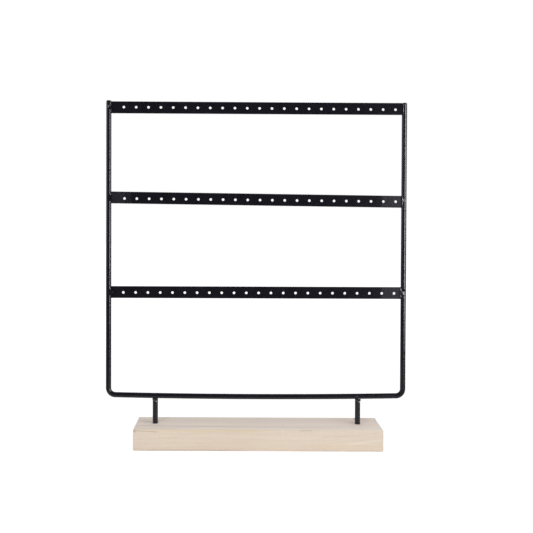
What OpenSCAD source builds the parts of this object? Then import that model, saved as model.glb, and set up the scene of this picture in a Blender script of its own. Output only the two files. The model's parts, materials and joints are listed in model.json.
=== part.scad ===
// Earring display stand: a bent rod frame with three perforated bars, standing on a wood block.
// Millimetres. X runs along the bars, Y runs back from the front, Z is up.
// The origin is on the surface that the block stands on, midway between the uprights.

/* [Base block] */
// Length of the wood block
base_w = 250; // [230:1:300]
// Depth of the wood block from front to back
base_d = 50; // [30:1:80]
// Thickness of the wood block
base_h = 21.4; // [18:0.1:30]
// Width of the eased edges of the block
base_edge = 0.5; // [0.2:0.1:2]
// How far the middle of the block lies to the right of the middle of the frame
base_shift = 2.2; // [-5:0.1:5]

/* [Frame rod] */
// Diameter of the round rod that the frame is bent from
rod_d = 5.4; // [4:0.1:6]
// Width of the frame over its two uprights
frame_w = 307.8; // [260:0.1:340]
// Radius of the two lower bends, to the middle of the rod
bend_r = 7; // [5:0.5:20]
// Gap under the lowest point of the bottom rail
rail_gap = 25; // [15:0.1:40]
// How much the bottom rail bows down between its bends
rail_bow = 1.4; // [0.5:0.1:4]
// Height of the left rod end above the top edge of the top bar
stub_left = 1; // [0.2:0.1:10]
// Height of the right rod end above the top edge of the top bar
stub_right = 0.2; // [0.2:0.1:10]
// Radius of the rounding at the two rod ends
rod_end_r = 1.4; // [0.4:0.1:1.8]

/* [Bars] */
// Height of the flat strip that each bar is cut from
bar_h = 12.2; // [8:0.1:16]
// Thickness of the strip
bar_t = 1.5; // [1:0.1:3]
// Diameter of the earring holes
hole_d = 2.6; // [1.5:0.1:5]
// Distance from hole to hole
hole_pitch = 12.63; // [6:0.01:20]
// Least distance from the ends of a bar to a row of holes in its middle
row_margin = 9; // [8:0.1:40]

/* [Top bar] */
// Height of the middle of the top bar above the bottom rail
top_rise = 296; // [280:0.1:320]
// How much lower the right end of the top bar is than its left end
top_fall = 0.9; // [-5:0.1:5]
// How far the row of holes is shifted to the right in the top bar
top_row_shift = 3.1; // [-4:0.1:4]
// How far the first hole is below the middle line of the top bar
top_row_low_left = -0.3; // [-2:0.1:2]
// How far the last hole is below the middle line of the top bar
top_row_low_right = 0.7; // [-2:0.1:2]

/* [Middle bar] */
// Height of the middle of the middle bar above the bottom rail
middle_rise = 202.5; // [190:0.1:220]
// How much lower the right end of the middle bar is than its left end
middle_fall = 3.6; // [-5:0.1:5]
// How far the row of holes is shifted to the right in the middle bar
middle_row_shift = 3.9; // [-4:0.1:4]
// How far the first hole is below the middle line of the middle bar
middle_row_low_left = 0.9; // [-2:0.1:2]
// How far the last hole is below the middle line of the middle bar
middle_row_low_right = -0.1; // [-2:0.1:2]

/* [Lower bar] */
// Height of the middle of the lower bar above the bottom rail
lower_rise = 107.2; // [90:0.1:120]
// How much lower the right end of the lower bar is than its left end
lower_fall = 0; // [-5:0.1:5]
// How far the row of holes is shifted to the right in the lower bar
lower_row_shift = 2.8; // [-4:0.1:4]
// How far the first hole is below the middle line of the lower bar
lower_row_low_left = 0.4; // [-2:0.1:2]
// How far the last hole is below the middle line of the lower bar
lower_row_low_right = 0.4; // [-2:0.1:2]

/* [Legs] */
// Diameter of the two legs
leg_d = 5.4; // [4.4:0.1:6]
// Distance from the ends of the block to the middle of each leg
leg_inset = 21; // [10:0.5:60]
// How far the pair of legs is shifted to the right on the block
leg_shift = -1.2; // [-5:0.1:5]
// Depth of the sockets that the legs stand in
socket_depth = 13; // [6:0.5:13]
// Clearance round each leg in its socket
socket_clear = 0.1; // [0.05:0.05:0.5]
// How far the end of each leg is let into the bottom rail
leg_seat = 1; // [0.5:0.1:1.5]

/* [Screws] */
// Diameter of the screws that hold the legs from below
screw_d = 3; // [2:0.5:3]
// Diameter of the screw heads
head_d = 5.6; // [5:0.1:8]
// Height of the screw heads
head_h = 2.2; // [1.5:0.1:3]
// Length of each screw inside its leg
screw_grip = 7; // [5:0.5:12]
// Depth of the recess that each screw head sits in
recess_depth = 3.4; // [3.1:0.1:4.5]
// Clearance round each screw head in its recess
recess_clear = 0.7; // [0.2:0.1:2]
// Clearance round each screw in the block
screw_clear = 0.2; // [0.1:0.05:0.5]
// Clearance round each screw in its tapped hole
thread_clear = 0.05; // [0.02:0.01:0.1]

/* [Welds] */
// Radius of the round of the domed welds between the bars and the uprights
dome_r = 3.4; // [3:0.1:4]
// How far the domed welds stand out of the faces of the bars
dome_out = 1.4; // [0.8:0.1:1.8]
// Distance from the middle of an upright to the middle of its domed welds
dome_in = 3.1; // [2.6:0.1:4]
// Height of the weld at the left end of the top bar above the middle of the bar
top_dome_up = 1.8; // [0:0.1:2.2]
// Radius of the thin seam at the right end of the top bar
seam_r = 0.8; // [0.6:0.1:1.2]
// Radius of the beads where the legs meet the bottom rail
leg_bead_r = 1.2; // [0.7:0.1:1.6]
// Distance from the bottom of the rail down to the drop of weld on each leg
leg_drop = 3; // [2:0.1:6]

/* [Hidden] */
$fn = 64;
rod_r = rod_d / 2;
leg_r = leg_d / 2;
hole_r = hole_d / 2;
screw_r = screw_d / 2;

// Middle of each upright, and height of the lowest point of the rail's middle line
upright_x = frame_w / 2 - rod_r;
rail_z = base_h + rail_gap + rod_r;

// The rail is a flat arc that runs into both bends without a kink
arc_half = upright_x - bend_r;
arc_r = (arc_half * arc_half + rail_bow * rail_bow) / (2 * rail_bow);
arc_turn = asin(arc_half / (arc_r - bend_r));
arc_z = rail_z + arc_r;
arc_steps = 24;
bend_z = arc_z - (arc_r - bend_r) * cos(arc_turn);

// A ball this much proud of the rod closes the seam between a bend and the rail
seam_proud = 0.02;
seam_x = arc_r * sin(arc_turn);

// The holes that fit between the uprights
bar_w = 2 * (upright_x - rod_r);
hole_count = floor((bar_w - 2 * row_margin) / hole_pitch) + 1;
row_w = (hole_count - 1) * hole_pitch;

// Heights of the rod ends, which follow the top bar
left_end_z = rail_z + top_rise + top_fall / 2 + bar_h / 2 + stub_left;
right_end_z = rail_z + top_rise - top_fall / 2 + bar_h / 2 + stub_right;

leg_left_x = base_shift + leg_shift - base_w / 2 + leg_inset;
leg_right_x = base_shift + leg_shift + base_w / 2 - leg_inset;
socket_z = base_h - socket_depth;

// Where the flat face of a strip meets the round of an upright
joint_x = upright_x - sqrt(rod_r * rod_r - bar_t * bar_t / 4);

// The seam lies a little inside that line and ends a little short of the strip's edges
seam_in = 0.16;
seam_margin = 0.3;
seam_len = bar_h - 2 * (seam_r + seam_margin);

// Length of the leg beads, and how far the drops of weld lie to the right on the legs
leg_bead_len = 1.6;
leg_drop_side = 0.7;

// A cross recess in a screw head
cross_w = 0.8;
cross_len = 3;
cross_depth = 1.2;
head_round = 0.8;
past = 1;

paint = [0.11, 0.11, 0.125];
bead_paint = [0.16, 0.16, 0.18];
wood = [0.87, 0.81, 0.74];
zinc = [0.72, 0.73, 0.74];

// Height of the rail's middle line at a distance x from the middle of the frame
function rail_at(x) = arc_z - sqrt(arc_r * arc_r - x * x);

// A rectangle with its corners cut off
module eased_rect(w, h) {
    e = base_edge;
    polygon([[e - w / 2, -h / 2], [w / 2 - e, -h / 2], [w / 2, e - h / 2], [w / 2, h / 2 - e],
             [w / 2 - e, h / 2], [e - w / 2, h / 2], [-w / 2, h / 2 - e], [-w / 2, e - h / 2]]);
}

module eased_block() {
    translate([base_shift, 0, base_h / 2])
        intersection() {
            linear_extrude(base_h, center = true) eased_rect(base_w, base_d);
            rotate([90, 0, 0]) linear_extrude(base_d, center = true) eased_rect(base_w, base_h);
            rotate([90, 0, 90]) linear_extrude(base_w, center = true) eased_rect(base_d, base_h);
        }
}

// The stepped hole of one leg: socket from above, screw hole, recess from below
module leg_hole(x) {
    translate([x, 0, socket_z]) cylinder(r = leg_r + socket_clear, h = socket_depth + past);
    translate([x, 0, 0]) cylinder(r = screw_r + screw_clear, h = base_h);
    translate([x, 0, -past]) cylinder(r = head_d / 2 + recess_clear, h = recess_depth + past);
}

module base_block() {
    color(wood)
        difference() {
            eased_block();
            leg_hole(leg_left_x);
            leg_hole(leg_right_x);
        }
}

// One upright with its rounded end, from the bend up to top_z
module upright(x, top_z) {
    len = top_z - bend_z;
    translate([x, 0, bend_z])
        rotate_extrude() {
            square([rod_r, len - rod_end_r]);
            square([rod_r - rod_end_r, len]);
            translate([rod_r - rod_end_r, len - rod_end_r])
                intersection() {
                    circle(rod_end_r);
                    square(rod_end_r);
                }
        }
}

// An arc of rod in the plane of the frame, from angle a, turning by turn
module rod_arc(centre_x, centre_z, r, a, turn, steps) {
    translate([centre_x, 0, centre_z])
        rotate([90, 0, 0]) rotate([0, 0, a])
            rotate_extrude(angle = turn, $fn = ceil(steps * 360 / turn))
                translate([r, 0]) circle(rod_r, $fn = 64);
}

module rail() {
    rod_arc(0, arc_z, arc_r, 270 - arc_turn, 2 * arc_turn, arc_steps);
}

module bend() {
    rod_arc(-arc_half, bend_z, bend_r, 180, 90 - arc_turn, arc_steps);
    translate([-seam_x, 0, rail_at(seam_x)]) sphere(rod_r + seam_proud);
}

// The space of the rail above one leg, where its bow is too slight to matter
module rail_space(x) {
    translate([x, 0, rail_at(x)])
        rotate([0, 90 - asin(x / arc_r), 0]) cylinder(r = rod_r, h = 4 * leg_d, center = true);
}

module frame_rod() {
    color(paint)
        union() {
            upright(-upright_x, left_end_z);
            upright(upright_x, right_end_z);
            bend();
            mirror([1, 0, 0]) bend();
            rail();
        }
}

// The space that both uprights take out of what is welded between them
module upright_space() {
    for (side = [-1, 1])
        translate([side * upright_x, 0, bend_z]) cylinder(r = rod_r, h = left_end_z);
}

// One perforated strip, coped to the uprights
module bar(rise, fall, row_shift, low_left, low_right) {
    color(paint)
        difference() {
            translate([0, 0, rail_z + rise])
                rotate([0, atan(fall / (2 * upright_x)), 0])
                    difference() {
                        cube([2 * upright_x, bar_t, bar_h], center = true);
                        for (i = [0 : hole_count - 1]) {
                            s = hole_count > 1 ? i / (hole_count - 1) : 0.5;
                            low = low_left + s * (low_right - low_left);
                            translate([row_shift + (s - 0.5) * row_w, 0, -low])
                                rotate([90, 0, 0])
                                    cylinder(r = hole_r, h = bar_t + 2 * past, center = true);
                        }
                    }
            upright_space();
        }
}

module bar_top() {
    bar(top_rise, top_fall, top_row_shift, top_row_low_left, top_row_low_right);
}

module bar_middle() {
    bar(middle_rise, middle_fall, middle_row_shift, middle_row_low_left, middle_row_low_right);
}

module bar_lower() {
    bar(lower_rise, lower_fall, lower_row_shift, lower_row_low_left, lower_row_low_right);
}

// One leg, let a little into the rail above, with the tapped hole of its screw below
module leg(x) {
    top_z = rail_at(x) - rod_r + leg_seat;
    color(paint)
        difference() {
            translate([x, 0, socket_z]) cylinder(r = leg_r, h = top_z - socket_z);
            rail_space(x);
            translate([x, 0, socket_z - past])
                cylinder(r = screw_r + thread_clear, h = screw_grip + 2 * past);
        }
}

module leg_left() {
    leg(leg_left_x);
}

module leg_right() {
    leg(leg_right_x);
}

// A straight run of weld with round ends, along Z
module bead(r, len) {
    cylinder(r = r, h = len, center = true);
    for (end = [-1, 1])
        translate([0, 0, end * len / 2]) sphere(r);
}

// A domed weld that bridges an upright and the face of a bar: front is -1 for the front face, 1 for the back
module dome(side, front, z) {
    translate([side * (upright_x - dome_in), front * bar_t / 2, z])
        intersection() {
            translate([0, front * (dome_out - dome_r), 0]) sphere(dome_r);
            translate([0, front * dome_r, 0]) cube(2 * dome_r, center = true);
        }
}

// The thin seam down the front of the right end of the top bar
module seam() {
    translate([joint_x - seam_in, -bar_t / 2, rail_z + top_rise - top_fall / 2]) bead(seam_r, seam_len);
}

// The space of a bar without its holes
module bar_space(rise, fall) {
    translate([0, 0, rail_z + rise])
        rotate([0, atan(fall / (2 * upright_x)), 0])
            cube([2 * upright_x, bar_t, bar_h], center = true);
}

module bar_welds() {
    color(bead_paint)
        difference() {
            union() {
                seam();
                dome(1, 1, rail_z + top_rise - top_fall / 2);
                for (front = [-1, 1]) {
                    dome(-1, front, rail_z + top_rise + top_fall / 2 + top_dome_up);
                    for (side = [-1, 1]) {
                        dome(side, front, rail_z + middle_rise - side * middle_fall / 2);
                        dome(side, front, rail_z + lower_rise - side * lower_fall / 2);
                    }
                }
            }
            bar_space(top_rise, top_fall);
            upright_space();
        }
}

// The beads in front of and behind one leg, each with a drop of weld below it
module leg_beads(x) {
    rail_bottom = rail_at(x) - rod_r;
    difference() {
        for (front = [-1, 1]) {
            translate([x, front * leg_r, rail_bottom])
                rotate([0, 90, 0]) bead(leg_bead_r, leg_bead_len);
            translate([x + leg_drop_side, front * (leg_r - leg_bead_r / 2), rail_bottom - leg_drop])
                sphere(leg_bead_r);
        }
        rail_space(x);
        translate([x, 0, socket_z]) cylinder(r = leg_r, h = rail_bottom + leg_seat - socket_z);
    }
}

module leg_welds() {
    color(bead_paint) {
        leg_beads(leg_left_x);
        leg_beads(leg_right_x);
    }
}

// One pan head screw, head down in its recess
module screw(x) {
    color(zinc)
        translate([x, 0, recess_depth])
            difference() {
                union() {
                    cylinder(r = screw_r, h = socket_z - recess_depth + screw_grip);
                    rotate_extrude() {
                        translate([0, -head_h]) square([head_d / 2 - head_round, head_h]);
                        translate([0, head_round - head_h]) square([head_d / 2, head_h - head_round]);
                        translate([head_d / 2 - head_round, head_round - head_h])
                            intersection() {
                                circle(head_round);
                                translate([0, -head_round]) square(head_round);
                            }
                    }
                }
                for (a = [0, 90])
                    rotate([0, 0, a])
                        translate([0, 0, -head_h])
                            cube([cross_len, cross_w, 2 * cross_depth], center = true);
            }
}

module screw_left() {
    screw(leg_left_x);
}

module screw_right() {
    screw(leg_right_x);
}

base_block();
frame_rod();
bar_top();
bar_middle();
bar_lower();
leg_left();
leg_right();
bar_welds();
leg_welds();
screw_left();
screw_right();
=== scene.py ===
"""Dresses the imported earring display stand: a rod frame, perforated bars, welds and a whitewashed block."""

import json
import math
import random

import bmesh
import bpy
from mathutils import Matrix, Vector, noise


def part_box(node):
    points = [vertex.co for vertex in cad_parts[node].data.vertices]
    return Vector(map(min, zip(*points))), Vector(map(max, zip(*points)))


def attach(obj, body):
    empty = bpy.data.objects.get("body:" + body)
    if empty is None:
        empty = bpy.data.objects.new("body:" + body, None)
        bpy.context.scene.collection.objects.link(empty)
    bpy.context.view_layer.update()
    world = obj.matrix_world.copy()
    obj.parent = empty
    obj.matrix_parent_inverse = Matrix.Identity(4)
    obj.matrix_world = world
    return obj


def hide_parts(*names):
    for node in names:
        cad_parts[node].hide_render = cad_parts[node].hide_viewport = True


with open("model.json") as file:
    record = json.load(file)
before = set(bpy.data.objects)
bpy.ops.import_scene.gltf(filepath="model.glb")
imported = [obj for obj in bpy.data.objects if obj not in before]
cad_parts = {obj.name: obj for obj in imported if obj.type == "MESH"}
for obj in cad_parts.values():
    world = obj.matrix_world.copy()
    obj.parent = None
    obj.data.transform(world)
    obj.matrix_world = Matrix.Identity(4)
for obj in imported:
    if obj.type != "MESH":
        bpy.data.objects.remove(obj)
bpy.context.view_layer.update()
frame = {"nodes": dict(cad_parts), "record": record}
MM = 0.001

# Sizes that the frame gives, in metres. The legs are of the same rod as the frame.
ROD_LO, ROD_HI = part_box("frame_rod")
LEG_LO, LEG_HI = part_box("leg_left")
BAR_LO, BAR_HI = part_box("bar_top")
BLOCK_LO, BLOCK_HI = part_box("base_block")
ROD_R = (LEG_HI.x - LEG_LO.x) / 2
UPRIGHT_X = ROD_HI.x - ROD_R
RAIL_Z = ROD_LO.z + ROD_R
BAR_T = BAR_HI.y - BAR_LO.y

# Sizes of the same pieces that their boxes don't give
BEND_R = 7 * MM
RAIL_BOW = 1.4 * MM
ROD_END_R = 1.4 * MM
SOCKET_R = ROD_R + 0.1 * MM
SCREW_HOLE_R = 1.7 * MM
RECESS_R = 3.5 * MM
RECESS_DEPTH = 3.4 * MM

# How far the top of a leg reaches above the rail's underside, and a cutter past the faces of the block
LEG_SEAT = 1 * MM
CUT_PAST = 1 * MM

# Softened edges of the finished pieces, and the angle from which an edge is shaded as sharp
STRIP_EDGE = 0.40 * MM
BLOCK_EDGE = 0.7 * MM
SHARP = math.radians(40)

# The rod's mesh: its sides, its steps along straights and the rail and round the bends, and its unevenness
ROD_SIDES = 48
ROD_STEP = 3 * MM
BEND_STEP = math.radians(4)
ROD_WOBBLE, ROD_WOBBLE_SCALE = 0.02 * MM, 160

# A bar's mesh: how far it reaches into the uprights, the stretch at its ends whose height is measured, how
# close points are that become one, and from a circle's point to its curve handle as a share of the radius
BAR_OVERLAP = 0.1 * MM
BAR_END = 0.3 * MM
SAME_POINT = 0.005 * MM
CIRCLE_HANDLE = 0.5523

# The camera of the photograph: its frame and its lens in pixels, its place and its nearest and farthest sight
# in metres, its turns in radians
FRAME_PX = 533
FOCAL_PX = 783.0
CENTRE_PX = Vector((232.88, 230.10))
SENSOR_MM = 36
CAMERA_AT = Vector((-0.02183, -0.80280, 0.23257))
CLIP_NEAR, CLIP_FAR = 0.05, 50
YAW, PITCH, ROLL = 0.0025, 0.0153, 0.0035

# The even light of the world
WORLD_LIGHT, WORLD_TINT = 0.30, (0.93, 0.97, 1.0, 1)

# The room that gloss shows: its brightness in front, elsewhere, and overhead as a share of those, its tint,
# and between which y of a direction the front ends and between which z the ceiling begins
ROOM_FRONT, ROOM_AROUND, ROOM_CEILING = 0.10, 1.0, 0.15
ROOM_TINT = (1.0, 0.98, 1.10, 1)
FRONT_ENDS, CEILING_BEGINS = (-0.965, -0.58), (0.15, 0.6)

# The floor: its half width in metres, and its greys under the lamps, to other rays and to the camera. Then,
# near and far, how much of its white is its own and how bright gloss shows it, and where these change.
FLOOR_REACH = 6
FLOOR_PLAIN, FLOOR_SHADOW = (0.8, 0.8, 0.8, 1), (0.22, 0.22, 0.22, 1)
GLOW_NEAR, GLOW_FAR, GLOW_CHANGES = 0.86, 1.0, (0.25, 0.9)
GLOSS_NEAR, GLOSS_FAR, GLOSS_CHANGES = 0.65, 0.12, (0.15, 0.5)


# Helpers for nodes

def add_node(tree, kind, inputs=None, **settings):
    """A node with its settings, and its inputs either linked to a socket or set to a value."""
    made = tree.nodes.new(kind)
    for name, value in settings.items():
        setattr(made, name, value)
    for name, value in (inputs or {}).items():
        if isinstance(value, bpy.types.NodeSocket):
            tree.links.new(value, made.inputs[name])
        else:
            made.inputs[name].default_value = value
    return made


def math_node(tree, operation, *values):
    """The result of a math operation on sockets or numbers."""
    inputs = dict(enumerate(values))
    return add_node(tree, "ShaderNodeMath", inputs, operation=operation).outputs[0]


def times(tree, first, *others):
    """The product of sockets or numbers."""
    for value in others:
        first = math_node(tree, "MULTIPLY", first, value)
    return first


def blend_colour(tree, factor, first, second, mode="MIX"):
    """Second laid over first by factor."""
    inputs = {0: factor, 6: first, 7: second}
    return add_node(tree, "ShaderNodeMix", inputs, data_type="RGBA", blend_type=mode).outputs[2]


def ramp(tree, value, low, high, to_low=0.0, to_high=1.0):
    """Value from low to high, smoothly mapped onto to_low to to_high."""
    inputs = {"Value": value, "From Min": low, "From Max": high, "To Min": to_low, "To Max": to_high}
    return add_node(tree, "ShaderNodeMapRange", inputs, interpolation_type="SMOOTHSTEP").outputs[0]


def within(tree, value, low, high, soft):
    """1 where value lies between low and high, with soft edges."""
    enter = ramp(tree, value, low - soft, low + soft)
    leave = ramp(tree, value, high - soft, high + soft, 1.0, 0.0)
    return times(tree, enter, leave)


def noise_value(tree, place, scale, detail=2.0, roughness=0.5):
    """Noise from 0 to 1, with scale waves a metre."""
    inputs = {"Vector": place, "Scale": scale, "Detail": detail, "Roughness": roughness}
    return add_node(tree, "ShaderNodeTexNoise", inputs).outputs["Fac"]


def grain_noise(tree, place, along, across, detail=2.0, roughness=0.5):
    """Noise drawn out along the block, with so many waves a metre along and across it."""
    stretched = add_node(tree, "ShaderNodeMapping", {"Vector": place, "Scale": (along, across, across)})
    return noise_value(tree, stretched.outputs[0], 1.0, detail, roughness)


def new_material(name):
    """An empty material with its tree, its shader and the place of each point in the part's frame."""
    made = bpy.data.materials.new(name)
    made.use_nodes = True
    tree = made.node_tree
    shader = tree.nodes["Principled BSDF"]
    place = add_node(tree, "ShaderNodeTexCoord").outputs["Object"]
    return made, tree, shader, place


def dress(tree, shader, colour, rough, height, strength, distance):
    """Gives a shader its colour, its roughness and the bump of a height."""
    bump = add_node(tree, "ShaderNodeBump", {"Strength": strength, "Distance": distance, "Height": height})
    tree.links.new(colour, shader.inputs["Base Color"])
    tree.links.new(rough, shader.inputs["Roughness"])
    tree.links.new(bump.outputs[0], shader.inputs["Normal"])


# Paint and zinc

# The black paint: its two shades, a paler shade that paints a reflection, and the dust in it
BLACK_DEEP, BLACK_LIGHT = (0.0032, 0.0029, 0.0062, 1), (0.0050, 0.0046, 0.0092, 1)
BLACK_PAINTED_REFLECTION = (0.023, 0.022, 0.029, 1)
BLACK_DUST = (0.016, 0.016, 0.020, 1)

# Where a painted reflection makes bars and welds paler, in mm: from x to x, from z to z, strength; and how
# soft its edges are
REFLECTION_RIGHT = (128.6, 150.2, 100, 300, 1.0)
REFLECTION_LEFT = (-160, -134.8, 220, 290, 0.65)
REFLECTION_LEFT_FRINGE = (-134.8, -128, 220, 290, 0.33)
REFLECTION_SOFT = 0.6 * MM

# The zinc: its two shades
ZINC_DARK, ZINC_BRIGHT = (0.50, 0.51, 0.53, 1), (0.62, 0.63, 0.66, 1)


def black_paint(name, peel_share, gloss=(0.23, 0.28), pale=()):
    """Satin black spray paint: faint orange peel, fine dust, uneven gloss, and painted reflections where
    stated.
    """
    made, tree, shader, place = new_material(name)
    split = add_node(tree, "ShaderNodeSeparateXYZ", {0: place}).outputs
    cloud = ramp(tree, noise_value(tree, place, 90, 3), 0.3, 0.7)
    colour = blend_colour(tree, cloud, BLACK_DEEP, BLACK_LIGHT)
    # Paler patches that paint a reflection on the ends of the bars and welds
    for x0, x1, z0, z1, strength in pale:
        along = within(tree, split[0], x0 * MM, x1 * MM, REFLECTION_SOFT)
        up = within(tree, split[2], z0 * MM, z1 * MM, REFLECTION_SOFT)
        colour = blend_colour(tree, times(tree, along, up, strength), colour, BLACK_PAINTED_REFLECTION)
    grain = noise_value(tree, place, 4200, 1)
    dust = ramp(tree, grain, 0.74, 0.82)
    colour = blend_colour(tree, times(tree, dust, 0.12), colour, BLACK_DUST)
    peel = noise_value(tree, place, 1800, 3, 0.55)
    height = math_node(tree, "MULTIPLY_ADD", peel, peel_share, times(tree, grain, 0.1))
    rough = ramp(tree, noise_value(tree, place, 240, 2), 0.25, 0.75, *gloss)
    dress(tree, shader, colour, rough, height, 0.07, 0.02 * MM)
    return made


def zinc_steel(name):
    """Zinc plate: bright, with a faint cloudy spangle."""
    made, tree, shader, place = new_material(name)
    cloud = noise_value(tree, place, 700, 2)
    colour = blend_colour(tree, cloud, ZINC_DARK, ZINC_BRIGHT)
    rough = ramp(tree, noise_value(tree, place, 1500, 2), 0.2, 0.8, 0.26, 0.42)
    shader.inputs["Metallic"].default_value = 1
    dress(tree, shader, colour, rough, cloud, 0.2, 0.02 * MM)
    return made


# Wood

# Colours of the wood: the two of the wash, and what rings, fibres, pores and end grain add
WASH_PINK, WASH_YELLOW = (0.725, 0.612, 0.510, 1), (0.745, 0.648, 0.535, 1)
RING_TINT = (0.60, 0.47, 0.37, 1)
FIBRE_TINT = (0.62, 0.49, 0.39, 1)
PORE_TINT = (0.50, 0.38, 0.30, 1)
END_TINT = (0.60, 0.48, 0.38, 1)

# Colour factors: two mottles, the top's cooler tint of painted light, and the edges round the top that have
# lost some wash
MOTTLE_COOL, MOTTLE_WARM = (0.97, 0.975, 0.99, 1), (1.03, 1.0, 0.985, 1)
TOP_PAINTED_LIGHT = (0.975, 1.015, 1.09, 1)
WORN_FACTOR = (0.86, 0.84, 0.81, 1)

# The middle of the trunk, behind and below the block, the width of its growth rings and how far they stray
PITH_Y, PITH_Z = 55 * MM, -75 * MM
RING_W = 3.4 * MM
RING_WARP, RING_FINE_WARP = 12 * MM, 1.2 * MM

# Grain lines and painted shade on the block, in mm: start and end along it, place across it, slope, half
# width, strength
TOP_GRAIN_AND_SHADE_MARKS = [
    (-165, 66, -9.6, -0.026, 2.6, 1.0),
    (40, 90, -14.5, 0.0, 2.4, 0.3),
    (-150, -74, -21.3, 0.0, 2.2, 0.9),
    # Painted shade on the top in front of the right leg's foot
    (94, 112, -17.2, -0.1, 2.4, 0.35),
]
TOP_LIGHT_MARKS = [(-128, 128, -17.0, 0.0, 3.0, 0.5), (-60, 90, -4.0, 0.0, 6.0, 0.4)]
FRONT_DARK_GRAIN_AND_SHADE_MARKS = [
    (-124, -97, 20.6, -0.06, 0.7, 0.8),
    (-124, -120, 19.4, 0.0, 1.3, 0.8),
    (43, 56, 20.9, -0.01, 0.8, 0.75),
    # These two paint the shade along the bottom of the front
    (-119, -12, 0.9, 0.0, 1.1, 0.55),
    (26, 127, 0.9, 0.0, 1.1, 0.2),
    (60, 127, 13.0, 0.09, 0.8, 0.22),
    (70, 127, 8.0, 0.10, 0.7, 0.18),
    (-122, -70, 12.4, 0.02, 0.7, 0.16),
]
FRONT_YELLOW_AND_SHADE_MARKS = [
    (-105, 16, 20.4, 0.0, 1.4, 1.0),
    (-70, 6, 19.8, 0.0, 1.6, 0.7),
    # Painted shade in a warm tint, low on the front above its bottom edge
    (55, 125, 4.2, 0.01, 2.6, 0.5),
    (-40, 10, 10.0, 0.01, 2.0, 0.25),
]
FRONT_LIGHT_MARKS = [(88, 130, 6.5, 0.13, 1.8, 0.7), (-30, 70, 14.0, 0.0, 2.5, 0.3)]

# How strong all the marks are, and how far they sway
MARK_SHARE = 0.6
MARK_SWAY = 1.6 * MM


def growth_rings(tree, place, split, fine_warp):
    """Growth rings round the pith, bent by a broad and a fine warp: 0 in early wood, up to 1 in late wood."""
    warp = grain_noise(tree, place, 5, 30)
    dy = math_node(tree, "SUBTRACT", split[1], PITH_Y)
    dz = math_node(tree, "SUBTRACT", split[2], PITH_Z)
    square = math_node(tree, "ADD", times(tree, dy, dy), times(tree, dz, dz))
    reach = math_node(tree, "MULTIPLY_ADD", warp, RING_WARP, math_node(tree, "SQRT", square))
    reach = math_node(tree, "MULTIPLY_ADD", fine_warp, RING_FINE_WARP, reach)
    phase = math_node(tree, "FRACT", times(tree, reach, 1 / RING_W))
    return times(tree, math_node(tree, "POWER", phase, 2.5), ramp(tree, phase, 0.93, 1.0, 1.0, 0.0))


def streak(tree, along, across, start, end, at, slope, width):
    """How much of a mark, grain line or painted shade, a point is on: a soft line from start to end that
    drifts off by slope.
    """
    line = math_node(tree, "MULTIPLY_ADD", math_node(tree, "SUBTRACT", along, start), slope, at)
    off = math_node(tree, "ABSOLUTE", math_node(tree, "SUBTRACT", across, line))
    body = ramp(tree, off, 0.15 * width, width, 1.0, 0.0)
    fade = 0.18 * (end - start)
    enter = ramp(tree, along, start - fade / 2, start + fade)
    leave = ramp(tree, along, end - fade, end + fade / 2, 1.0, 0.0)
    return times(tree, body, enter, leave)


def marks(tree, along, across, rows):
    """All the marks of one list on one face, as one factor."""
    total = 0.0
    for start, end, at, slope, width, strength in rows:
        row = streak(tree, along, across, start * MM, end * MM, at * MM, slope, width * MM)
        total = math_node(tree, "MULTIPLY_ADD", row, strength, total)
    return math_node(tree, "MINIMUM", total, 1.0)


def by_face(tree, colour, split, fine_warp):
    """Per face: grain marks, painted shade, painted cool light on the top, worn edges round it and dark end
    grain.
    """
    normal = add_node(tree, "ShaderNodeNewGeometry").outputs["Normal"]
    facing = add_node(tree, "ShaderNodeSeparateXYZ", {0: normal}).outputs
    on_top = ramp(tree, facing[2], 0.6, 0.8)
    on_front = ramp(tree, facing[1], -0.8, -0.6, 1.0, 0.0)
    on_end = ramp(tree, math_node(tree, "ABSOLUTE", facing[0]), 0.6, 0.8)
    on_edge = within(tree, facing[2], 0.2, 0.9, 0.08)

    sway = math_node(tree, "SUBTRACT", fine_warp, 0.5)
    back = math_node(tree, "MULTIPLY_ADD", sway, MARK_SWAY, split[1])
    up = math_node(tree, "MULTIPLY_ADD", sway, MARK_SWAY, split[2])
    # A cooler tint on the top, painted for the light that falls on it
    colour = blend_colour(tree, on_top, colour, blend_colour(tree, 1.0, colour, TOP_PAINTED_LIGHT, "MULTIPLY"))
    # Grain marks, and the painted shade among them, each laid on in its tint
    for face, across, rows, tint in (
        (on_top, back, TOP_GRAIN_AND_SHADE_MARKS, (0.52, 0.43, 0.37, 1)),
        (on_top, back, TOP_LIGHT_MARKS, (0.76, 0.68, 0.60, 1)),
        (on_front, up, FRONT_YELLOW_AND_SHADE_MARKS, (0.70, 0.56, 0.37, 1)),
        (on_front, up, FRONT_DARK_GRAIN_AND_SHADE_MARKS, (0.38, 0.25, 0.16, 1)),
        (on_front, up, FRONT_LIGHT_MARKS, (0.80, 0.73, 0.62, 1)),
    ):
        factor = times(tree, face, marks(tree, split[0], across, rows), MARK_SHARE)
        colour = blend_colour(tree, factor, colour, tint)
    colour = blend_colour(tree, on_edge, colour, blend_colour(tree, 1.0, colour, WORN_FACTOR, "MULTIPLY"))
    return blend_colour(tree, times(tree, on_end, 0.35), colour, END_TINT)


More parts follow.
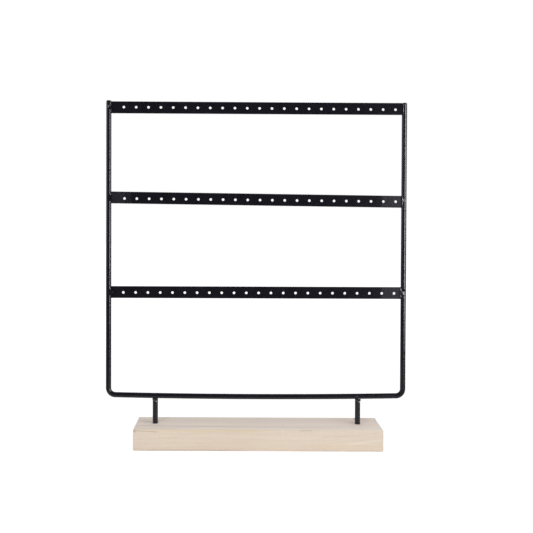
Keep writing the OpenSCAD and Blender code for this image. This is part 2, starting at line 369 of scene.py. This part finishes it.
def pale_wood(name):
    """Whitewashed softwood: growth rings, fibres and pores along the block, under a pale wash."""
    made, tree, shader, place = new_material(name)
    split = add_node(tree, "ShaderNodeSeparateXYZ", {0: place}).outputs
    fine_warp = grain_noise(tree, place, 20, 120)
    ring = growth_rings(tree, place, split, fine_warp)
    fibre = grain_noise(tree, place, 60, 1500, 4, 0.65)
    pores = ramp(tree, grain_noise(tree, place, 150, 2600, 1), 0.64, 0.74)
    patch = ramp(tree, grain_noise(tree, place, 14, 60, 3), 0.35, 0.65)
    mottle = ramp(tree, noise_value(tree, place, 520, 2, 0.6), 0.35, 0.65)

    colour = blend_colour(tree, patch, WASH_PINK, WASH_YELLOW)
    mottled = blend_colour(tree, mottle, MOTTLE_COOL, MOTTLE_WARM)
    colour = blend_colour(tree, 1.0, colour, mottled, "MULTIPLY")
    colour = blend_colour(tree, times(tree, ring, 0.20), colour, RING_TINT)
    colour = blend_colour(tree, times(tree, ramp(tree, fibre, 0.38, 0.66), 0.16), colour, FIBRE_TINT)
    colour = blend_colour(tree, times(tree, pores, 0.18), colour, PORE_TINT)
    colour = by_face(tree, colour, split, fine_warp)

    height = math_node(tree, "MULTIPLY_ADD", pores, -0.8, times(tree, fibre, 0.9))
    height = math_node(tree, "MULTIPLY_ADD", ring, -0.3, height)
    rough = ramp(tree, fibre, 0.3, 0.7, 0.62, 0.78)
    shader.inputs["Specular IOR Level"].default_value = 0.35
    dress(tree, shader, colour, rough, height, 0.35, 0.12 * MM)
    return made


PAINT = black_paint("satin_black", 1.0)
BAR_PAINT = black_paint("satin_black_of_bars", 0.6, (0.21, 0.25), [REFLECTION_RIGHT, REFLECTION_LEFT, REFLECTION_LEFT_FRINGE])
WELD_PAINT = black_paint("satin_black_over_weld", 1.8, pale=[REFLECTION_RIGHT])
WOOD = pale_wood("whitewashed_wood")
ZINC = zinc_steel("zinc_plate")


# Helpers for pieces

def link_piece(name, mesh, material, slot, *replaced):
    """Puts a mesh into the scene as a piece, which stands for the CAD nodes that are named."""
    made = bpy.data.objects.new(name, mesh)
    bpy.context.scene.collection.objects.link(made)
    mesh.materials.clear()
    mesh.materials.append(material)
    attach(made, "root")
    if replaced:
        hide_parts(*replaced)
    return made


def finish_node(node, material):
    """Gives a CAD node that keeps its shape its own finish."""
    obj = frame["nodes"][node]
    obj.data.materials.clear()
    obj.data.materials.append(material)


def mesh_from(bm, name):
    """A smoothly shaded mesh with sharp edges, from mesh data that this uses up."""
    bmesh.ops.recalc_face_normals(bm, faces=bm.faces)
    mesh = bpy.data.meshes.new(name)
    bm.to_mesh(mesh)
    bm.free()
    mesh.shade_smooth()
    mesh.set_sharp_from_angle(angle=SHARP)
    return mesh


def scratch_object(name, data):
    """An object that only helps to make a piece."""
    made = bpy.data.objects.new(name, data)
    bpy.context.scene.collection.objects.link(made)
    return made


def evaluated(obj, name):
    """The mesh of an object with its modifiers applied. The object itself goes."""
    bpy.context.view_layer.update()
    graph = bpy.context.evaluated_depsgraph_get()
    mesh = bpy.data.meshes.new_from_object(obj.evaluated_get(graph))
    mesh.name = name
    bpy.data.objects.remove(obj)
    return mesh


def keep_faces_flat(obj):
    """Shades the flat faces flat up to their soft edges."""
    weighted = obj.modifiers.new("flat_faces", "WEIGHTED_NORMAL")
    weighted.keep_sharp = True


# The rod frame. A ring is (middle, side, radius), side pointing out of the U in the plane of the frame.

def tube(rings):
    """A closed, slightly uneven round bar through rings, in the plane of the frame."""
    bm = bmesh.new()
    across = Vector((0, 1, 0))
    rows = []
    for middle, side, radius in rings:
        row = []
        for k in range(ROD_SIDES):
            turn = 2 * math.pi * k / ROD_SIDES
            out = side * math.cos(turn) + across * math.sin(turn)
            bump = ROD_WOBBLE * noise.noise((middle + out * radius) * ROD_WOBBLE_SCALE)
            row.append(bm.verts.new(middle + out * (radius + bump)))
        rows.append(row)
    for a, b in zip(rows, rows[1:]):
        for k in range(ROD_SIDES):
            after = (k + 1) % ROD_SIDES
            bm.faces.new((a[k], a[after], b[after], b[k]))
    for (middle, _, _), row in ((rings[0], rows[0]), (rings[-1], rows[-1])):
        tip = bm.verts.new(middle)
        for k in range(ROD_SIDES):
            bm.faces.new((tip, row[k], row[(k + 1) % ROD_SIDES]))
    return bm


def evenly(start, end, step):
    """Places from start to end, about a step apart."""
    count = max(1, round(abs(end - start) / step))
    return [start + (end - start) * k / count for k in range(count + 1)]


def end_rings(x, top, side, steps=6, tip_r=0.3 * MM):
    """The rings of a rounded rod end, from its tip downwards."""
    rings = [(Vector((x, 0, top)), side, tip_r)]
    for k in range(steps, -1, -1):
        turn = math.pi / 2 * k / steps
        z = top - ROD_END_R + ROD_END_R * math.sin(turn)
        rings.append((Vector((x, 0, z)), side, ROD_R - ROD_END_R + ROD_END_R * math.cos(turn)))
    return rings


def straight_rings(x, side, start, end):
    """The rings along an upright, from one height to another."""
    return [(Vector((x, 0, z)), side, ROD_R) for z in evenly(start, end, ROD_STEP)]


def arc_rings(middle, radius, start, end, step):
    """The rings along an arc in the plane of the frame, without the first."""
    rings = []
    for turn in evenly(start, end, step)[1:]:
        side = Vector((math.cos(turn), 0, math.sin(turn)))
        rings.append((middle + side * radius, side, ROD_R))
    return rings


def frame_rings():
    """The rings of the bent rod: down the left upright, along the bowed rail and up the right upright."""
    half = UPRIGHT_X - BEND_R
    rail_r = (half ** 2 + RAIL_BOW ** 2) / (2 * RAIL_BOW)
    reach = math.asin(half / (rail_r - BEND_R))
    rail_middle = RAIL_Z + rail_r
    bend_z = rail_middle - (rail_r - BEND_R) * math.cos(reach)
    right_top = max(v.co.z for v in frame["nodes"]["frame_rod"].data.vertices if v.co.x > 0)
    left, right = Vector((-1, 0, 0)), Vector((1, 0, 0))
    down = 1.5 * math.pi

    rings = end_rings(-UPRIGHT_X, ROD_HI.z, left)
    rings += straight_rings(-UPRIGHT_X, left, ROD_HI.z - 2 * ROD_END_R, bend_z)
    rings += arc_rings(Vector((-half, 0, bend_z)), BEND_R, math.pi, down - reach, BEND_STEP)
    rings += arc_rings(Vector((0, 0, rail_middle)), rail_r, down - reach, down + reach, ROD_STEP / rail_r)
    rings += arc_rings(Vector((half, 0, bend_z)), BEND_R, down + reach, 2 * math.pi, BEND_STEP)
    rings += straight_rings(UPRIGHT_X, right, bend_z, right_top - 2 * ROD_END_R)[1:]
    rings += end_rings(UPRIGHT_X, right_top, right)[::-1]
    return rings


def rod_frame():
    """The bent rod: both uprights, the bends and the bottom rail."""
    mesh = mesh_from(tube(frame_rings()), "rod_frame")
    return link_piece("rod_frame", mesh, PAINT, "black_paint", "frame_rod")


# The bars

def end_height(node, side):
    """The middle height of one end of a bar, side being -1 or 1."""
    places = [v.co for v in frame["nodes"][node].data.vertices]
    reach = max(side * p.x for p in places)
    heights = [p.z for p in places if side * p.x > reach - BAR_END]
    return (min(heights) + max(heights)) / 2


def hole_places(node):
    """The middle and the radius of each earring hole of a bar, which the record states as mounts."""
    prefix = node.split("_")[1] + "_bar_hole"
    rows = [m for m in frame["record"]["mounts"] if m["name"].startswith(prefix)]
    return [(Vector(m["pos_m"]), m["dims"]["r_mm"] * MM) for m in rows]


def straight_loop(curve, corners):
    """A closed loop of straight lines through (x, y) corners, in a flat curve."""
    made = curve.splines.new("POLY")
    made.use_cyclic_u = True
    made.points.add(len(corners) - 1)
    for target, (x, y) in zip(made.points, corners):
        target.co = (x, y, 0, 1)


def round_loop(curve, x, y, radius):
    """A circle in a flat curve."""
    made = curve.splines.new("BEZIER")
    made.use_cyclic_u = True
    made.bezier_points.add(3)
    for k, target in enumerate(made.bezier_points):
        out = Vector((math.cos(k * math.pi / 2), math.sin(k * math.pi / 2), 0))
        point = Vector((x, y, 0)) + out * radius
        handle = Vector((-out.y, out.x, 0)) * (radius * CIRCLE_HANDLE)
        target.co, target.handle_left, target.handle_right = point, point - handle, point + handle


def perforated_bar(node):
    """A flat strip with soft edges and soft hole rims, from the bar's own ends and holes."""
    left_z, right_z = end_height(node, -1), end_height(node, 1)
    lo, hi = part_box(node)
    tilt = math.atan((left_z - right_z) / (hi.x - lo.x))
    half_h = ((hi.z - lo.z) - abs(left_z - right_z)) / 2
    middle = Vector((0, 0, (left_z + right_z) / 2))
    level = Matrix.Rotation(-tilt, 3, "Y")

    curve = bpy.data.curves.new(node + "_outline", "CURVE")
    curve.dimensions, curve.fill_mode, curve.resolution_u = "2D", "BOTH", 12
    curve.extrude = BAR_T / 2 - STRIP_EDGE
    curve.bevel_depth, curve.bevel_resolution, curve.offset = STRIP_EDGE, 2, -STRIP_EDGE
    end = hi.x + BAR_OVERLAP
    straight_loop(curve, [(-end, -half_h), (end, -half_h), (end, half_h), (-end, half_h)])
    for place, radius in hole_places(node):
        flat = level @ (place - middle)
        round_loop(curve, flat.x, flat.z, radius)

    mesh = evaluated(scratch_object(node + "_outline", curve), "perforated_" + node)
    stand_up = Matrix.Rotation(math.pi / 2, 4, "X")
    mesh.transform(Matrix.Translation(middle) @ Matrix.Rotation(tilt, 4, "Y") @ stand_up)
    bm = bmesh.new()
    bm.from_mesh(mesh)
    bmesh.ops.remove_doubles(bm, verts=bm.verts, dist=SAME_POINT)
    made = link_piece(mesh.name, mesh_from(bm, mesh.name), BAR_PAINT, "black_paint", node)
    keep_faces_flat(made)
    return made


# Welds

def lump(at, radii, lean=0, facing=(0, 0), flat=False):
    """A lump of weld: its middle and its radii as (across, out, up) in mm, how it leans, and how it faces.

    Across is from the middle of the rod towards the bar, or to the right on a leg. Out is from the plane of
    the frame. Up is from the middle of the bar, or from the underside of the rail on a leg. The top of a lump
    leans across by lean degrees. Facing turns its front by so many degrees towards +X and then upwards. A
    flat lump is a short round bar with its end to the front, any other is an ellipsoid."""
    return at, radii, lean, facing, flat


# How the shiny spots of the left and right joints and of the two legs face
SPOT_LEFT, SPOT_RIGHT = (34, 0), (14, 0)
SPOT_LEG_LEFT, SPOT_LEG_RIGHT = (31, 15), (18, 15)

BEAD_UPS = (4.7, 1.6, -0.4, -2.5, -4.5)
NUGGET = [
    lump((1.5, 1.55, -0.4), (2.75, 1.35, 2.9), flat=True),
    lump((1.5, 1.7, -0.4), (2.5, 1.45, 2.6)),
    lump((1.8, 2.3, 3.1), (0.6, 0.45, 0.65), facing=SPOT_LEFT, flat=True),
    lump((1.5, 2.4, -4.2), (0.6, 0.45, 0.7), facing=SPOT_LEFT, flat=True),
]
FRONT_WELDS = {
    ("bar_top", -1): [
        lump((1.8, 0.9, 3.2), (1.5, 1.55, 2.5), lean=5),
        lump((1.8, 2.2, 4.6), (0.5, 0.45, 1.3), facing=SPOT_LEFT, flat=True),
        lump((-0.6, 2.7, 0.7), (0.6, 0.40, 1.6), facing=SPOT_LEFT, flat=True),
        lump((1.7, 1.45, -0.9), (1.9, 1.25, 1.5), lean=25, flat=True),
        lump((2.6, 0.7, -3.4), (0.7, 0.60, 1.5)),
    ],
    ("bar_top", 1): [
        lump((1.7, 1.0, 0.0), (0.7, 1.10, 5.4)),
        lump((1.6, 2.2, 0.0), (0.35, 0.40, 5.3), facing=SPOT_RIGHT, flat=True),
        *[lump((1.6, 2.4, up), (0.55, 0.45, 0.5), facing=SPOT_RIGHT, flat=True) for up in BEAD_UPS],
    ],
    ("bar_middle", -1): NUGGET,
    ("bar_middle", 1): [
        lump((1.8, 1.0, 0.0), (0.7, 1.00, 5.6)),
        lump((2.0, 2.0, 0.2), (0.4, 0.40, 5.4), facing=SPOT_RIGHT, flat=True),
        lump((1.75, 2.6, 2.0), (0.6, 0.50, 2.1), lean=16, facing=SPOT_RIGHT, flat=True),
    ],
    ("bar_lower", -1): NUGGET,
    ("bar_lower", 1): [
        lump((2.4, 1.0, 0.0), (0.8, 1.00, 5.4)),
        lump((2.4, 1.8, 0.6), (1.5, 1.10, 2.0)),
        lump((3.0, 1.55, 3.6), (0.55, 0.40, 1.7), facing=SPOT_RIGHT, flat=True),
        lump((3.0, 1.55, -3.1), (0.55, 0.40, 1.6), facing=SPOT_RIGHT, flat=True),
        lump((-0.5, 2.65, 3.0), (0.75, 0.30, 1.3), facing=(-15, 0), flat=True),
        lump((0.45, 2.8, -0.15), (0.75, 0.50, 2.5), lean=27, facing=SPOT_RIGHT, flat=True),
    ],
}
BACK_WELD = [lump((1.9, 1.4, 2.9 - 1.15 * k), (1.9, 1.15, 1.0), lean=14) for k in range(6)]
LEG_WELDS = {
    "leg_left": [
        lump((-1.9, 1.4, -0.5), (1.0, 0.95, 1.3), lean=20),
        lump((1.9, 1.4, -0.5), (1.0, 0.95, 1.3), lean=-20),
        lump((0.0, 2.1, 0.1), (2.0, 0.75, 0.8)),
        lump((-0.5, 2.2, -2.0), (1.5, 0.65, 0.6), lean=-38),
        lump((1.1, 2.4, -2.8), (1.2, 0.45, 0.6), facing=SPOT_LEG_LEFT, flat=True),
        lump((-1.4, 2.3, -1.6), (0.5, 0.40, 0.6), facing=SPOT_LEG_LEFT, flat=True),
    ],
    "leg_right": [
        lump((-1.9, 1.4, -0.4), (1.0, 0.95, 1.3), lean=20),
        lump((1.9, 1.4, -0.6), (1.0, 0.95, 1.5), lean=-20),
        lump((0.0, 2.1, 0.2), (2.0, 0.75, 0.9)),
        lump((-1.2, 2.5, 3.0), (0.4, 0.40, 0.5), facing=SPOT_LEG_RIGHT, flat=True),
        lump((0.9, 2.5, 0.9), (0.45, 0.40, 0.6), facing=SPOT_LEG_RIGHT, flat=True),
        lump((0.5, 2.2, -1.9), (1.5, 0.65, 0.6), lean=35),
        lump((1.15, 2.3, -2.45), (0.85, 0.45, 0.9), facing=SPOT_LEG_RIGHT, flat=True),
        lump((-1.2, 2.3, -2.0), (0.5, 0.40, 0.5), facing=SPOT_LEG_RIGHT, flat=True),
        lump((-1.8, 1.6, -3.4), (0.75, 0.70, 0.7)),
    ],
}
LEG_BACK_WELD = [lump((k - 1.5, 1.9, -0.3 - 0.25 * abs(k - 1.5)), (0.95, 0.85, 1.0)) for k in range(4)]

# How far chance shifts a lump, in mm, and the first seeds of the bars' and of the legs' welds
LUMP_SHIFT = 0.06
BAR_SEED, LEG_SEED = 20, 40

# The cells that fuse the lumps, how the fused form is smoothed, and how uneven its surface is
WELD_CELL = 0.13 * MM
MELT_FACTOR, MELT_ROUNDS = 0.5, 6
WELD_WOBBLE, WELD_WOBBLE_SCALE = 0.04 * MM, 500

# Directions in the part's frame
FRONT, BACK, RIGHT = Vector((0, -1, 0)), Vector((0, 1, 0)), Vector((1, 0, 0))


def add_lump(bm, middle, across, radii, lean, facing, flat):
    """One lump, leant and turned, in mesh data."""
    leaning = Matrix.Rotation(math.radians(lean) * across.x, 4, "Y")
    to_right = Matrix.Rotation(math.radians(facing[0]), 4, "Z")
    upwards = Matrix.Rotation(-math.radians(facing[1]), 4, "X")
    size = Matrix.Diagonal((*(Vector(radii) * MM), 1))
    place = Matrix.Translation(middle) @ leaning @ (to_right @ upwards) @ size
    if flat:
        place = place @ Matrix.Rotation(math.pi / 2, 4, "X")
        bmesh.ops.create_cone(bm, cap_ends=True, segments=40, radius1=1, radius2=1, depth=2, matrix=place)
    else:
        bmesh.ops.create_icosphere(bm, subdivisions=3, radius=1, matrix=place)


def weld_mesh(name, places, seed):
    """Welds fused into one mesh. places holds (origin, direction of across, direction of out, lumps)."""
    bm = bmesh.new()
    chance = random.Random(seed)
    for origin, across, out, lumps in places:
        for at, radii, lean, facing, flat in lumps:
            a, b, c = (value + chance.uniform(-LUMP_SHIFT, LUMP_SHIFT) for value in at)
            middle = origin + (across * a + out * b + Vector((0, 0, c))) * MM
            add_lump(bm, middle, across, radii, lean, facing, flat)
    mesh = bpy.data.meshes.new(name)
    bm.to_mesh(mesh)
    bm.free()
    lumps_object = scratch_object(name + "_lumps", mesh)
    remesh = lumps_object.modifiers.new("fuse", "REMESH")
    remesh.mode, remesh.voxel_size = "VOXEL", WELD_CELL
    smooth = lumps_object.modifiers.new("melt", "SMOOTH")
    smooth.factor, smooth.iterations = MELT_FACTOR, MELT_ROUNDS
    fused = evaluated(lumps_object, name)
    normals = [n.vector.copy() for n in fused.vertex_normals]
    for v, normal in zip(fused.vertices, normals):
        v.co += normal * WELD_WOBBLE * noise.noise(v.co * WELD_WOBBLE_SCALE)
    fused.shade_smooth()
    return fused


def bar_welds():
    """The beads at both ends of the bars, in front and behind. The first piece stands for their CAD node."""
    for index, node in enumerate(("bar_top", "bar_middle", "bar_lower")):
        places = []
        for side in (-1, 1):
            origin = Vector((side * UPRIGHT_X, 0, end_height(node, side)))
            places.append((origin, RIGHT * -side, FRONT, FRONT_WELDS[node, side]))
            places.append((origin, RIGHT * -side, BACK, BACK_WELD))
        mesh = weld_mesh("welds_" + node, places, BAR_SEED + index)
        made = link_piece("welds_" + node, mesh, WELD_PAINT, "black_paint")
        if index == 0:
            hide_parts("bar_welds")


def leg_middle(node):
    """How far to the right the middle of a leg is."""
    lo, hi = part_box(node)
    return (lo.x + hi.x) / 2


def leg_welds():
    """The beads between legs and rail, in front and behind. The first piece stands for their CAD node."""
    for index, node in enumerate(("leg_left", "leg_right")):
        origin = Vector((leg_middle(node), 0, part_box(node)[1].z - LEG_SEAT))
        places = [(origin, RIGHT, FRONT, LEG_WELDS[node]), (origin, RIGHT, BACK, LEG_BACK_WELD)]
        mesh = weld_mesh("welds_" + node, places, LEG_SEED + index)
        made = link_piece("welds_" + node, mesh, WELD_PAINT, "black_paint")
        if index == 0:
            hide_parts("leg_welds")


# The block

def hole_cutter():
    """What is drilled out of the block: the sockets of the legs, the screws' holes and their recesses."""
    bm = bmesh.new()
    for node in ("leg_left", "leg_right"):
        for radius, low, high in (
            (SOCKET_R, LEG_LO.z, BLOCK_HI.z + CUT_PAST),
            (SCREW_HOLE_R, -CUT_PAST, LEG_LO.z + CUT_PAST / 2),
            (RECESS_R, -CUT_PAST, RECESS_DEPTH),
        ):
            place = Matrix.Translation((leg_middle(node), 0, (low + high) / 2))
            bmesh.ops.create_cone(bm, cap_ends=True, segments=64, radius1=radius, radius2=radius,
                                  depth=high - low, matrix=place)
    return scratch_object("cutter", mesh_from(bm, "cutter"))


def wood_block():
    """The block with soft edges, its two leg sockets and the recesses of the screws."""
    bm = bmesh.new()
    size = BLOCK_HI - BLOCK_LO
    place = Matrix.Translation((BLOCK_LO + BLOCK_HI) / 2) @ Matrix.Diagonal((*size, 1))
    bmesh.ops.create_cube(bm, size=1, matrix=place)
    bmesh.ops.bevel(bm, geom=bm.edges[:], offset=BLOCK_EDGE, segments=4, profile=0.5, affect="EDGES")
    block = scratch_object("block", mesh_from(bm, "block"))
    cutter = hole_cutter()
    cut = block.modifiers.new("holes", "BOOLEAN")
    cut.operation, cut.solver, cut.object, cut.use_self = "DIFFERENCE", "EXACT", cutter, True
    mesh = evaluated(block, "wood_block")
    bpy.data.objects.remove(cutter)
    mesh.set_sharp_from_angle(angle=SHARP)
    made = link_piece("wood_block", mesh, WOOD, "pale_wood", "base_block")
    keep_faces_flat(made)


# Surroundings

def light_path(tree):
    """Two factors: 1 for rays from the camera, and 1 for rays that were mirrored or went through glass."""
    path = add_node(tree, "ShaderNodeLightPath").outputs
    gloss = math_node(tree, "MAXIMUM", path["Is Glossy Ray"], path["Is Transmission Ray"])
    return path["Is Camera Ray"], gloss


def background(tree, colour, strength):
    """An evenly coloured background."""
    return add_node(tree, "ShaderNodeBackground", {"Color": colour, "Strength": strength}).outputs[0]


def white_world():
    """A white background that gives only a dim, even light. In gloss it is dark in front and overhead."""
    world = bpy.data.worlds.new("studio")
    bpy.context.scene.world = world
    world.use_nodes = True
    tree = world.node_tree
    tree.nodes.clear()
    seen, gloss = light_path(tree)
    direction = add_node(tree, "ShaderNodeTexCoord").outputs["Generated"]
    split = add_node(tree, "ShaderNodeSeparateXYZ", {0: direction}).outputs
    around = ramp(tree, split[1], *FRONT_ENDS, ROOM_FRONT, ROOM_AROUND)
    overhead = ramp(tree, split[2], *CEILING_BEGINS, 1.0, ROOM_CEILING)
    dim = background(tree, WORLD_TINT, WORLD_LIGHT)
    mirrored = background(tree, ROOM_TINT, times(tree, around, overhead))
    white = background(tree, (1, 1, 1, 1), 1.0)
    lit = add_node(tree, "ShaderNodeMixShader", {0: gloss, 1: dim, 2: mirrored})
    full = add_node(tree, "ShaderNodeMixShader", {0: seen, 1: lit.outputs[0], 2: white})
    add_node(tree, "ShaderNodeOutputWorld", {"Surface": full.outputs[0]})


def paper():
    """White to the camera with a faint shadow, grey to other rays, in gloss darker away from the stand."""
    made = bpy.data.materials.new("paper")
    made.use_nodes = True
    tree = made.node_tree
    tree.nodes.clear()
    seen, gloss = light_path(tree)
    place = add_node(tree, "ShaderNodeTexCoord").outputs["Object"]
    away = add_node(tree, "ShaderNodeVectorMath", {0: place}, operation="LENGTH").outputs["Value"]
    own_white = ramp(tree, away, *GLOW_CHANGES, GLOW_NEAR, GLOW_FAR)
    in_gloss = ramp(tree, away, *GLOSS_CHANGES, GLOSS_NEAR, GLOSS_FAR)
    plain = add_node(tree, "ShaderNodeBsdfDiffuse", {"Color": FLOOR_PLAIN})
    shadow = add_node(tree, "ShaderNodeBsdfDiffuse", {"Color": FLOOR_SHADOW})
    glow = add_node(tree, "ShaderNodeEmission", {"Strength": own_white})
    white = add_node(tree, "ShaderNodeAddShader", {0: shadow.outputs[0], 1: glow.outputs[0]})
    mirrored = add_node(tree, "ShaderNodeEmission", {"Strength": in_gloss})
    lit = add_node(tree, "ShaderNodeMixShader", {0: gloss, 1: plain.outputs[0], 2: mirrored.outputs[0]})
    full = add_node(tree, "ShaderNodeMixShader", {0: seen, 1: lit.outputs[0], 2: white.outputs[0]})
    add_node(tree, "ShaderNodeOutputMaterial", {"Surface": full.outputs[0]})
    return made


def white_floor():
    """The floor that the stand is on."""
    mesh = bpy.data.meshes.new("floor")
    corners = [(x * FLOOR_REACH, y * FLOOR_REACH, 0) for x, y in ((-1, -1), (1, -1), (1, 1), (-1, 1))]
    mesh.from_pydata(corners, [], [(0, 1, 2, 3)])
    mesh.materials.append(paper())
    floor = bpy.data.objects.new("floor", mesh)
    bpy.context.scene.collection.objects.link(floor)


def softbox(name, place, target, size, watts, colour=(1, 1, 1), in_gloss=True, in_matt=True):
    """An area lamp that looks at a point. It can be left out of gloss, or light nothing but gloss."""
    data = bpy.data.lights.new(name, "AREA")
    data.shape, data.size, data.size_y = "RECTANGLE", *size
    data.energy, data.color = watts, colour
    lamp = bpy.data.objects.new(name, data)
    lamp.location = place
    lamp.rotation_euler = (Vector(target) - Vector(place)).to_track_quat("-Z", "Y").to_euler()
    lamp.visible_glossy, lamp.visible_diffuse = in_gloss, in_matt
    bpy.context.scene.collection.objects.link(lamp)
    return lamp


def link_light(lamp, pieces, state):
    """Lets a lamp light these pieces only, with state INCLUDE, or everything but them, with state EXCLUDE."""
    linked = bpy.data.collections.new(lamp.name + "_pieces")
    for piece in pieces:
        linked.objects.link(piece)
    for entry in linked.collection_objects:
        entry.light_linking.link_state = state
    lamp.light_linking.receiver_collection = linked


def lamps(bars):
    """Three soft lamps light the matt surfaces: a key from the right front, a broad fill and one overhead.

    Two more give only gloss. A strip puts the thin highlight on the rods and the glints on the welds. Seen
    from the left the flat bars would mirror it whole, so a wider and weaker lamp lights them instead."""
    warm, cool = (1.0, 0.985, 0.96), (0.98, 0.97, 1.0)
    softbox("key", (0.84, -0.57, 1.22), (0, 0, 0.08), (0.8, 0.8), 10.9, in_gloss=False)
    softbox("fill", (-0.50, -1.8, 1.35), (0, 0, 0.05), (1.6, 0.9), 22.8, warm, in_gloss=False)
    softbox("top", (-0.15, 0.25, 1.2), (0, 0, 0.05), (0.9, 0.9), 3.7, in_gloss=False)
    strip = softbox("strip", (0.47, -0.37, 0.26), (0.15, 0, 0.26), (0.12, 0.44), 3.5, cool, in_matt=False)
    sheen = softbox("sheen", (0.43, -0.53, 0.21), (0.10, 0, 0.21), (0.22, 0.36), 0.78, cool, in_matt=False)
    link_light(strip, bars, "EXCLUDE")
    link_light(sheen, bars, "INCLUDE")


def camera():
    """The camera of the photograph."""
    data = bpy.data.cameras.new("camera")
    made = bpy.data.objects.new("camera", data)
    bpy.context.scene.collection.objects.link(made)
    data.sensor_width = SENSOR_MM
    data.lens = FOCAL_PX / FRAME_PX * SENSOR_MM
    data.shift_x = 0.5 - CENTRE_PX.x / FRAME_PX
    data.shift_y = CENTRE_PX.y / FRAME_PX - 0.5
    data.clip_start, data.clip_end = CLIP_NEAR, CLIP_FAR
    level = Matrix.Rotation(YAW, 4, "Z") @ Matrix.Rotation(math.pi / 2 - PITCH, 4, "X")
    turned = level @ Matrix.Rotation(ROLL, 4, "Z")
    made.matrix_world = Matrix.Translation(CAMERA_AT) @ turned
    bpy.context.scene.camera = made


camera()
white_world()
white_floor()
rod_frame()
bars = [perforated_bar(name) for name in ("bar_top", "bar_middle", "bar_lower")]
lamps(bars)
bar_welds()
leg_welds()
wood_block()
for name in ("leg_left", "leg_right"):
    finish_node(name, PAINT)
for name in ("screw_left", "screw_right"):
    finish_node(name, ZINC)
bpy.context.scene.view_settings.view_transform = "Standard"
